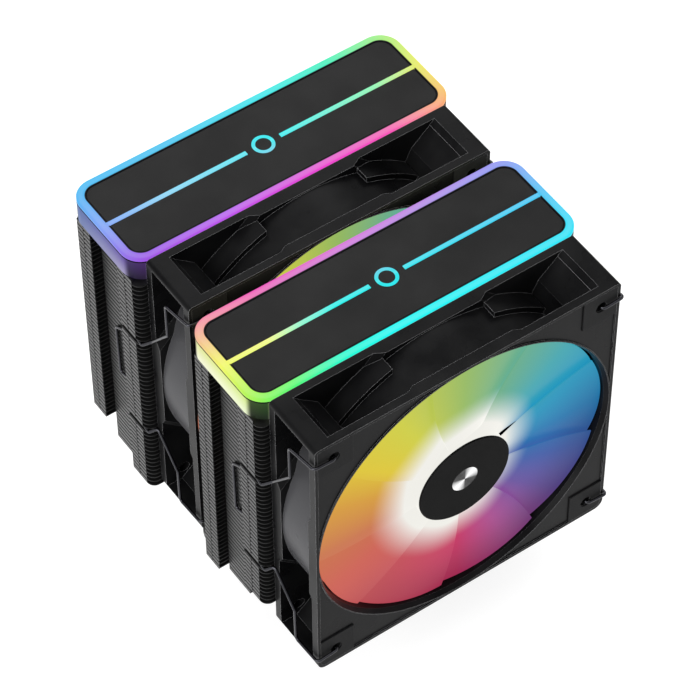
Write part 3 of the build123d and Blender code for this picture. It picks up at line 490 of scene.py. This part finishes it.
class LightGuide(Shader):
    """Milky plastic lit from inside: brightest along the middle of its rim, dark at its seam and
    its corners, and paler down its sides."""

    def __init__(self, name, box, looks):
        super().__init__(name, "#060606", 0.35, specular=0.04)
        self.low, self.high = box
        self.looks = looks
        self.x, self.y, self.z = self.split(self.where())
        # How far a point is from the cover's middle, and how far into a corner's square.
        _, self.corner_x = self.from_middle(self.x, self.low.x, self.high.x)
        self.past_y, self.corner_y = self.from_middle(self.y, self.low.y, self.high.y)
        self.field = self.glow_field()
        self.light()
        self.bump(self.noise(4000.0, 2.0), MILKY_GRAIN)

    def from_middle(self, value, low, high):
        """Along one axis, the distance from the cover's middle, and past where a corner starts."""
        past = self.math("ABSOLUTE", self.math("SUBTRACT", value, (low + high) / 2))
        return past, self.math("SUBTRACT", past, (high - low) / 2 - COVER_CORNER)

    def glow_field(self):
        """Colours over the cover: three ramps along X, blended from its front to its back."""
        low_y, high_y = self.low.y, self.high.y
        centre_y = (low_y + high_y) / 2
        along = self.span(self.x, self.low.x, self.high.x)
        front = self.ramp(along, self.looks["front"])
        middle = self.ramp(along, self.looks["middle"])
        back = self.ramp(along, self.looks["back"])
        near = self.mix(self.span(self.y, low_y, centre_y), front, middle)
        return self.mix(self.span(self.y, centre_y, high_y), near, back)

    def inside(self):
        """Distance in from the cover's rounded outline."""
        out_x = self.math("MAXIMUM", self.corner_x, 0.0)
        out_y = self.math("MAXIMUM", self.corner_y, 0.0)
        squares = self.math("MULTIPLY_ADD", out_x, out_x, self.math("MULTIPLY", out_y, out_y))
        past_round = self.math("SUBTRACT", COVER_CORNER, self.math("SQRT", squares))
        nearest = self.math("MAXIMUM", self.corner_x, self.corner_y)
        return self.math("SUBTRACT", past_round, self.math("MINIMUM", nearest, 0.0))

    def rim(self):
        """The top: a pale core, and a thin dark line against the panel."""
        inside = self.inside()
        core_at = RIM_WIDTH * CORE_MIDDLE
        core_full, core_gone = (RIM_WIDTH * share for share in CORE_FADE)
        off_core = self.math("ABSOLUTE", self.math("SUBTRACT", inside, core_at))
        core = self.span(off_core, core_full, core_gone, CORE_PALE, 0.0, smooth=True)
        on_line = self.span(self.past_y, *LINE_FADE, LINE_PALE, 0.0, smooth=True)
        past_rim = self.math("GREATER_THAN", inside, RIM_WIDTH)
        bright = self.mix(self.mix(past_rim, core, on_line), self.field, WHITE)
        near_panel = self.span(inside, RIM_WIDTH - CONTOUR_START, RIM_WIDTH - CONTOUR_FULL)
        off_line = self.math("GREATER_THAN", self.past_y, LINE_HALF)
        on_rim = self.math("LESS_THAN", inside, RIM_WIDTH + CONTOUR_OVERLAP)
        contour = self.math("MULTIPLY", self.math("MULTIPLY", near_panel, off_line), on_rim)
        return self.mix(contour, bright, CONTOUR_BLACK)

    def side(self):
        """The sides under the seam, with their dark corners."""
        looks = self.looks
        down = self.span(self.z, self.high.z - SIDE_FROM, self.low.z + SIDE_TO)
        tinted = self.mix(looks["tint_share"], self.field, colour(looks["side_tint"]))
        shaded = self.mix(looks["side_shade"], BLACK, tinted)
        less_behind = self.span(self.y, self.low.y, self.high.y, 1.0, looks["pale_back"])
        fading = self.span(down, 0.0, 1.0, *looks["side_pale"])
        pale = self.math("MULTIPLY", fading, less_behind)
        flank = self.mix(pale, shaded, SIDE_PALE)
        into_x = self.span(self.corner_x, *CORNER_FADE, smooth=True)
        into_y = self.span(self.corner_y, *CORNER_FADE, smooth=True)
        darkness = self.span(down, 0.0, 1.0, *looks["corner_dark"])
        deep = self.mix(darkness, self.field, SEAM_BLACK)
        return self.mix(self.math("MULTIPLY", into_x, into_y), flank, deep)

    def light(self):
        """The glow: the rim down to the seam, the dark seam band with painted shade beside the
        seam, and the side under it.
        """
        top = self.high.z
        seam = self.math("LESS_THAN", self.z, top - SEAM_HIGH)
        below = self.math("LESS_THAN", self.z, top - SEAM_LOW)
        # The dark band at the seam: partly the seam itself, partly painted shade beside it.
        above = self.mix(seam, self.rim(), SEAM_BLACK)
        self.feed(self.mix(below, above, self.side()), "Emission Color")
        self.set("Emission Strength", 1.0)


# ---- the fans' glow -----------------------------------------------------------------------------
HUB_GLOW = (0.86, 0.85, 0.80, 1.0)
WHITE_UNTIL = HUB_R + 5.0 * MM
WHITE_GONE = HUB_R + 19.0 * MM
WHITE_PULL = 9.0 * MM  # how much further in the colours reach on the blue side
BLUE_SIDE = 0.4  # radians clockwise from the right, as the front shows it
DIM_SIDE = 1.1
DIM_WIDTH = 24.0 * MM
DIM_SHARE = 0.4

# Around a fan from its left side, through its bottom, right and top.
HUES = [
    (0.0, "#c8744a"),
    (0.06, "#cc6254"),
    (0.14, "#c4505a"),
    (0.25, "#c43464"),
    (0.31, "#a84c8e"),
    (0.38, "#66509c"),
    (0.44, "#3f5ca6"),
    (0.5, "#1878b0"),
    (0.56, "#2496bc"),
    (0.62, "#3fa4ae"),
    (0.68, "#68ac8c"),
    (0.75, "#94b860"),
    (0.83, "#cccc40"),
    (0.89, "#dcc430"),
    (0.94, "#d49a3a"),
    (1.0, "#c8744a"),
]


def toward(made, angle, clockwise):
    """1 in the direction that lies so far clockwise from the right, and 0 a quarter turn off it."""
    return made.math("MAXIMUM", made.math("COSINE", made.math("ADD", angle, clockwise)), 0.0)


def lit_blades(name):
    """Frosted fan blades lit from the hub: white at the root, a colour wheel further out."""
    made = Shader(name, "#080808", 0.4, specular=0.05)
    angle, radius = made.polar()
    wheel = made.ramp(made.span(angle, -math.pi, math.pi), HUES)
    blue_side = made.math("POWER", toward(made, angle, BLUE_SIDE), 2.0)
    reach = made.math("ADD", radius, made.math("MULTIPLY", blue_side, WHITE_PULL))
    fading = made.span(reach, WHITE_UNTIL, WHITE_GONE, 1.0, 0.0)
    whiteness = made.math("POWER", fading, 1.5)
    made.feed(made.mix(whiteness, wheel, HUB_GLOW), "Emission Color")
    # The lower right edge is dimmest.
    edge = made.span(radius, BLADE_R - DIM_WIDTH, BLADE_R, 0.0, DIM_SHARE, smooth=True)
    dimmed = made.math("MULTIPLY", edge, toward(made, angle, DIM_SIDE))
    made.feed(made.math("SUBTRACT", 1.0, dimmed), "Emission Strength")
    made.bump(made.noise(5000.0, 2.0), MILKY_GRAIN)
    return made


def lamp_face(name):
    """A small white light in its package."""
    made = Shader(name, "#e8e4d8", 0.4)
    glow = made.ramp(made.noise(900.0), [(0.3, "#fff6e0"), (0.7, "#ffffff")])
    made.feed(glow, "Emission Color")
    made.set("Emission Strength", 1.5)
    return made


# ---- worked metals and the board ----------------------------------------------------------------
def printed_board(name):
    """Dark solder mask over copper tracks."""
    mask = "#10301c"
    made = Shader(name, mask, 0.35, coat=0.3)
    tracks = made.node("TexBrick", {"Vector": made.where(), "Scale": 400.0}).outputs["Fac"]
    made.feed(made.mix(tracks, colour(mask), colour("#1d4a2c")), "Base Color")
    made.bump(tracks, 0.03 * MM)
    return made


def spun_metal(name):
    """A turned metal disc: rings about the fan's axis, with a painted highlight in light and dark
    sectors of its colour.
    """
    ring_pitch = 0.35 * MM
    # Painted highlight: the disc's colour is lightest at this angle and straight across from it,
    # darkest between.
    brightest = 0.6  # radians from the right, and straight across from there
    made = Shader(name, "#c8c8c8", 0.26, metallic=1.0)
    angle, radius = made.polar()
    off_glint = made.math("SUBTRACT", angle, brightest)
    glint_sectors = made.math("ABSOLUTE", made.math("COSINE", off_glint))
    glint_shades = [(0.0, "#141414"), (0.55, "#3c3c3c"), (1.0, "#f2f2f2")]
    made.feed(made.ramp(glint_sectors, glint_shades), "Base Color")
    rings = made.math("SINE", made.math("MULTIPLY", radius, 2 * math.pi / ring_pitch))
    made.set("Anisotropic", 0.85)
    made.feed(made.node("Tangent", {}, direction_type="RADIAL", axis="Y").outputs[0], "Tangent")
    made.bump(rings, 0.01 * MM)
    return made


def contact_metal(name):
    """The nickel-plated contact plate with its milled arcs, which share a centre in front of it."""
    shift = (0.0, 0.06, 0.0)
    made = Shader(name, "#b9b4ac", 0.22, metallic=1.0)
    moved = made.node("Mapping", {"Vector": made.where(), "Location": shift}).outputs[0]
    wave = {"Vector": moved, "Scale": 260.0, "Distortion": 0.3}
    arcs = made.node("TexWave", wave, wave_type="RINGS", rings_direction="Z").outputs["Fac"]
    made.feed(made.span(arcs, 0.0, 1.0, 0.16, 0.3), "Roughness")
    made.soften(0.2 * MM)
    made.bump(arcs, 0.01 * MM)
    return made


def wound_copper(name):
    """Enamelled wire, one turn beside the next."""
    made = Shader(name, "#b8612c", 0.25, metallic=1.0, coat=0.4)
    wave = {"Vector": made.where(), "Scale": 900.0, "Distortion": 0.6}
    turns = made.node("TexWave", wave, bands_direction="Y").outputs["Fac"]
    made.bump(turns, 0.1 * MM)
    return made


def stacked_steel(name):
    """Laminated core: thin sheets along the fan's axis."""
    made = Shader(name, "#6f7276", 0.35, metallic=1.0)
    wave = {"Vector": made.where(), "Scale": 630.0}
    sheets = made.node("TexWave", wave, bands_direction="Y").outputs["Fac"]
    made.feed(made.span(sheets, 0.0, 1.0, 0.55, 0.3), "Roughness")
    made.bump(sheets, 0.05 * MM)
    return made


def material_table():
    """Every material of the cooler, by the record's slot names."""
    table = {
        "fins": folded_fins("fins", "#121212", 0.31),
        "pipes": coated_sheet("pipes", "#0c0c0c", 0.3),
        "contact": contact_metal("contact"),
        "block": moulded_plastic("block", "#121316", 0.4, depth=0.02 * MM, specular=0.5),
        "steel_black": coated_sheet("steel_black", "#0e0e0f", 0.36),
        "steel_bright": metal("steel_bright", "#b4b6ba", 0.24),
        "spring_wire": metal("spring_wire", "#9a9da2", 0.22),
        "clip_wire": metal("clip_wire", "#3a3a3e", 0.22),
        "cover_panel": moulded_plastic(
            "cover_panel",
            "#121212",
            0.5,
            grain=14000.0,
            edge=0.1 * MM,
            specular=0.12,
            edge_highlight=0.0,
            uneven=0.015,
        ),
        "tray": moulded_plastic("tray", "#0c0c0c", 0.5),
        "board": printed_board("board"),
        "lamp": lamp_face("lamp"),
        "frame": fan_frame("frame"),
        "pads": moulded_plastic("pads", "#0e0e0f", 0.6, grain=12000.0),
        "blades": lit_blades("blades"),
        "hub_cap": moulded_plastic("hub_cap", "#050505", 0.5, specular=0.03),
        "hub_disc": spun_metal("hub_disc"),
        "magnet": metal("magnet", "#3a3a3e", 0.45),
        "bush": metal("bush", "#a8823c", 0.3),
        "copper": wound_copper("copper"),
        "core": stacked_steel("core"),
    }
    for name, box in COVER.items():
        table[f"{name}_guide"] = LightGuide(f"{name}_guide", box, GUIDES[name])
    return table


# ---- the CAD nodes get their finish -------------------------------------------------------------
def dress(node, made):
    """Puts one material on a CAD node."""
    mesh = frame["nodes"][node].data
    mesh.materials.clear()
    mesh.materials.append(made.material)


materials = material_table()
for part in frame["record"]["subparts"]:
    slot = part["material_slot"]
    if slot == "light_guide":
        slot = part["node"].split("_")[0] + "_guide"
    dress(part["node"], materials[slot])

# ---- springs ------------------------------------------------------------------------------------
SPRING_WIRE_R = 0.45 * MM
SPRING_WIRE_SIDES = 12
SPRING_R = 3.55 * MM  # to the middle of the wire
SPRING_TURNS = 6.5
SPRING_DEAD_TURNS = 1.2  # at each end, lying flat
SPRING_STEPS_PER_TURN = 36


def wire_loop(mesh, centre, turn, z):
    """A ring of points round the wire, that many turns along a spring."""
    angle = 2 * math.pi * turn
    out = Vector((math.cos(angle), math.sin(angle), 0.0))
    middle = Vector((centre.x, centre.y, z)) + out * SPRING_R
    loop = []
    for side in range(SPRING_WIRE_SIDES):
        around = 2 * math.pi * side / SPRING_WIRE_SIDES
        off_middle = math.cos(around) * out + Vector((0, 0, math.sin(around)))
        loop.append(mesh.verts.new(middle + SPRING_WIRE_R * off_middle))
    return loop


def coil_spring(name, centre, low, high):
    """A helical spring of round wire with closed, flattened ends."""
    steps = int(SPRING_TURNS * SPRING_STEPS_PER_TURN)
    rise = (high - low) - 2 * SPRING_WIRE_R
    active_turns = SPRING_TURNS - 2 * SPRING_DEAD_TURNS
    mesh = bmesh.new()
    loops = []
    for step in range(steps + 1):
        turn = step / steps * SPRING_TURNS
        active = min(max((turn - SPRING_DEAD_TURNS) / active_turns, 0.0), 1.0)
        loops.append(wire_loop(mesh, centre, turn, low + SPRING_WIRE_R + rise * active))
    for a, b in zip(loops, loops[1:]):
        for side in range(SPRING_WIRE_SIDES):
            nxt = (side + 1) % SPRING_WIRE_SIDES
            mesh.faces.new((a[side], a[nxt], b[nxt], b[side]))
    mesh.faces.new(list(reversed(loops[0])))
    mesh.faces.new(loops[-1])
    data = bpy.data.meshes.new(name)
    mesh.normal_update()
    mesh.to_mesh(data)
    mesh.free()
    for face in data.polygons:
        face.use_smooth = True
    piece = bpy.data.objects.new(name, data)
    bpy.context.scene.collection.objects.link(piece)
    return piece


def add_springs():
    """A wound spring in place of each plain one under a captive screw's seat."""
    for side in ("left", "right"):
        node = f"{side}_screw_spring"
        low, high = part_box(node)
        centre = (low + high) / 2
        spring = coil_spring(f"{side}_coil_spring", centre, low.z, high.z)
        spring.data.materials.append(materials["spring_wire"].material)
        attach(spring, "cooler")
        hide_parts(node)
        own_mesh(spring)


add_springs()
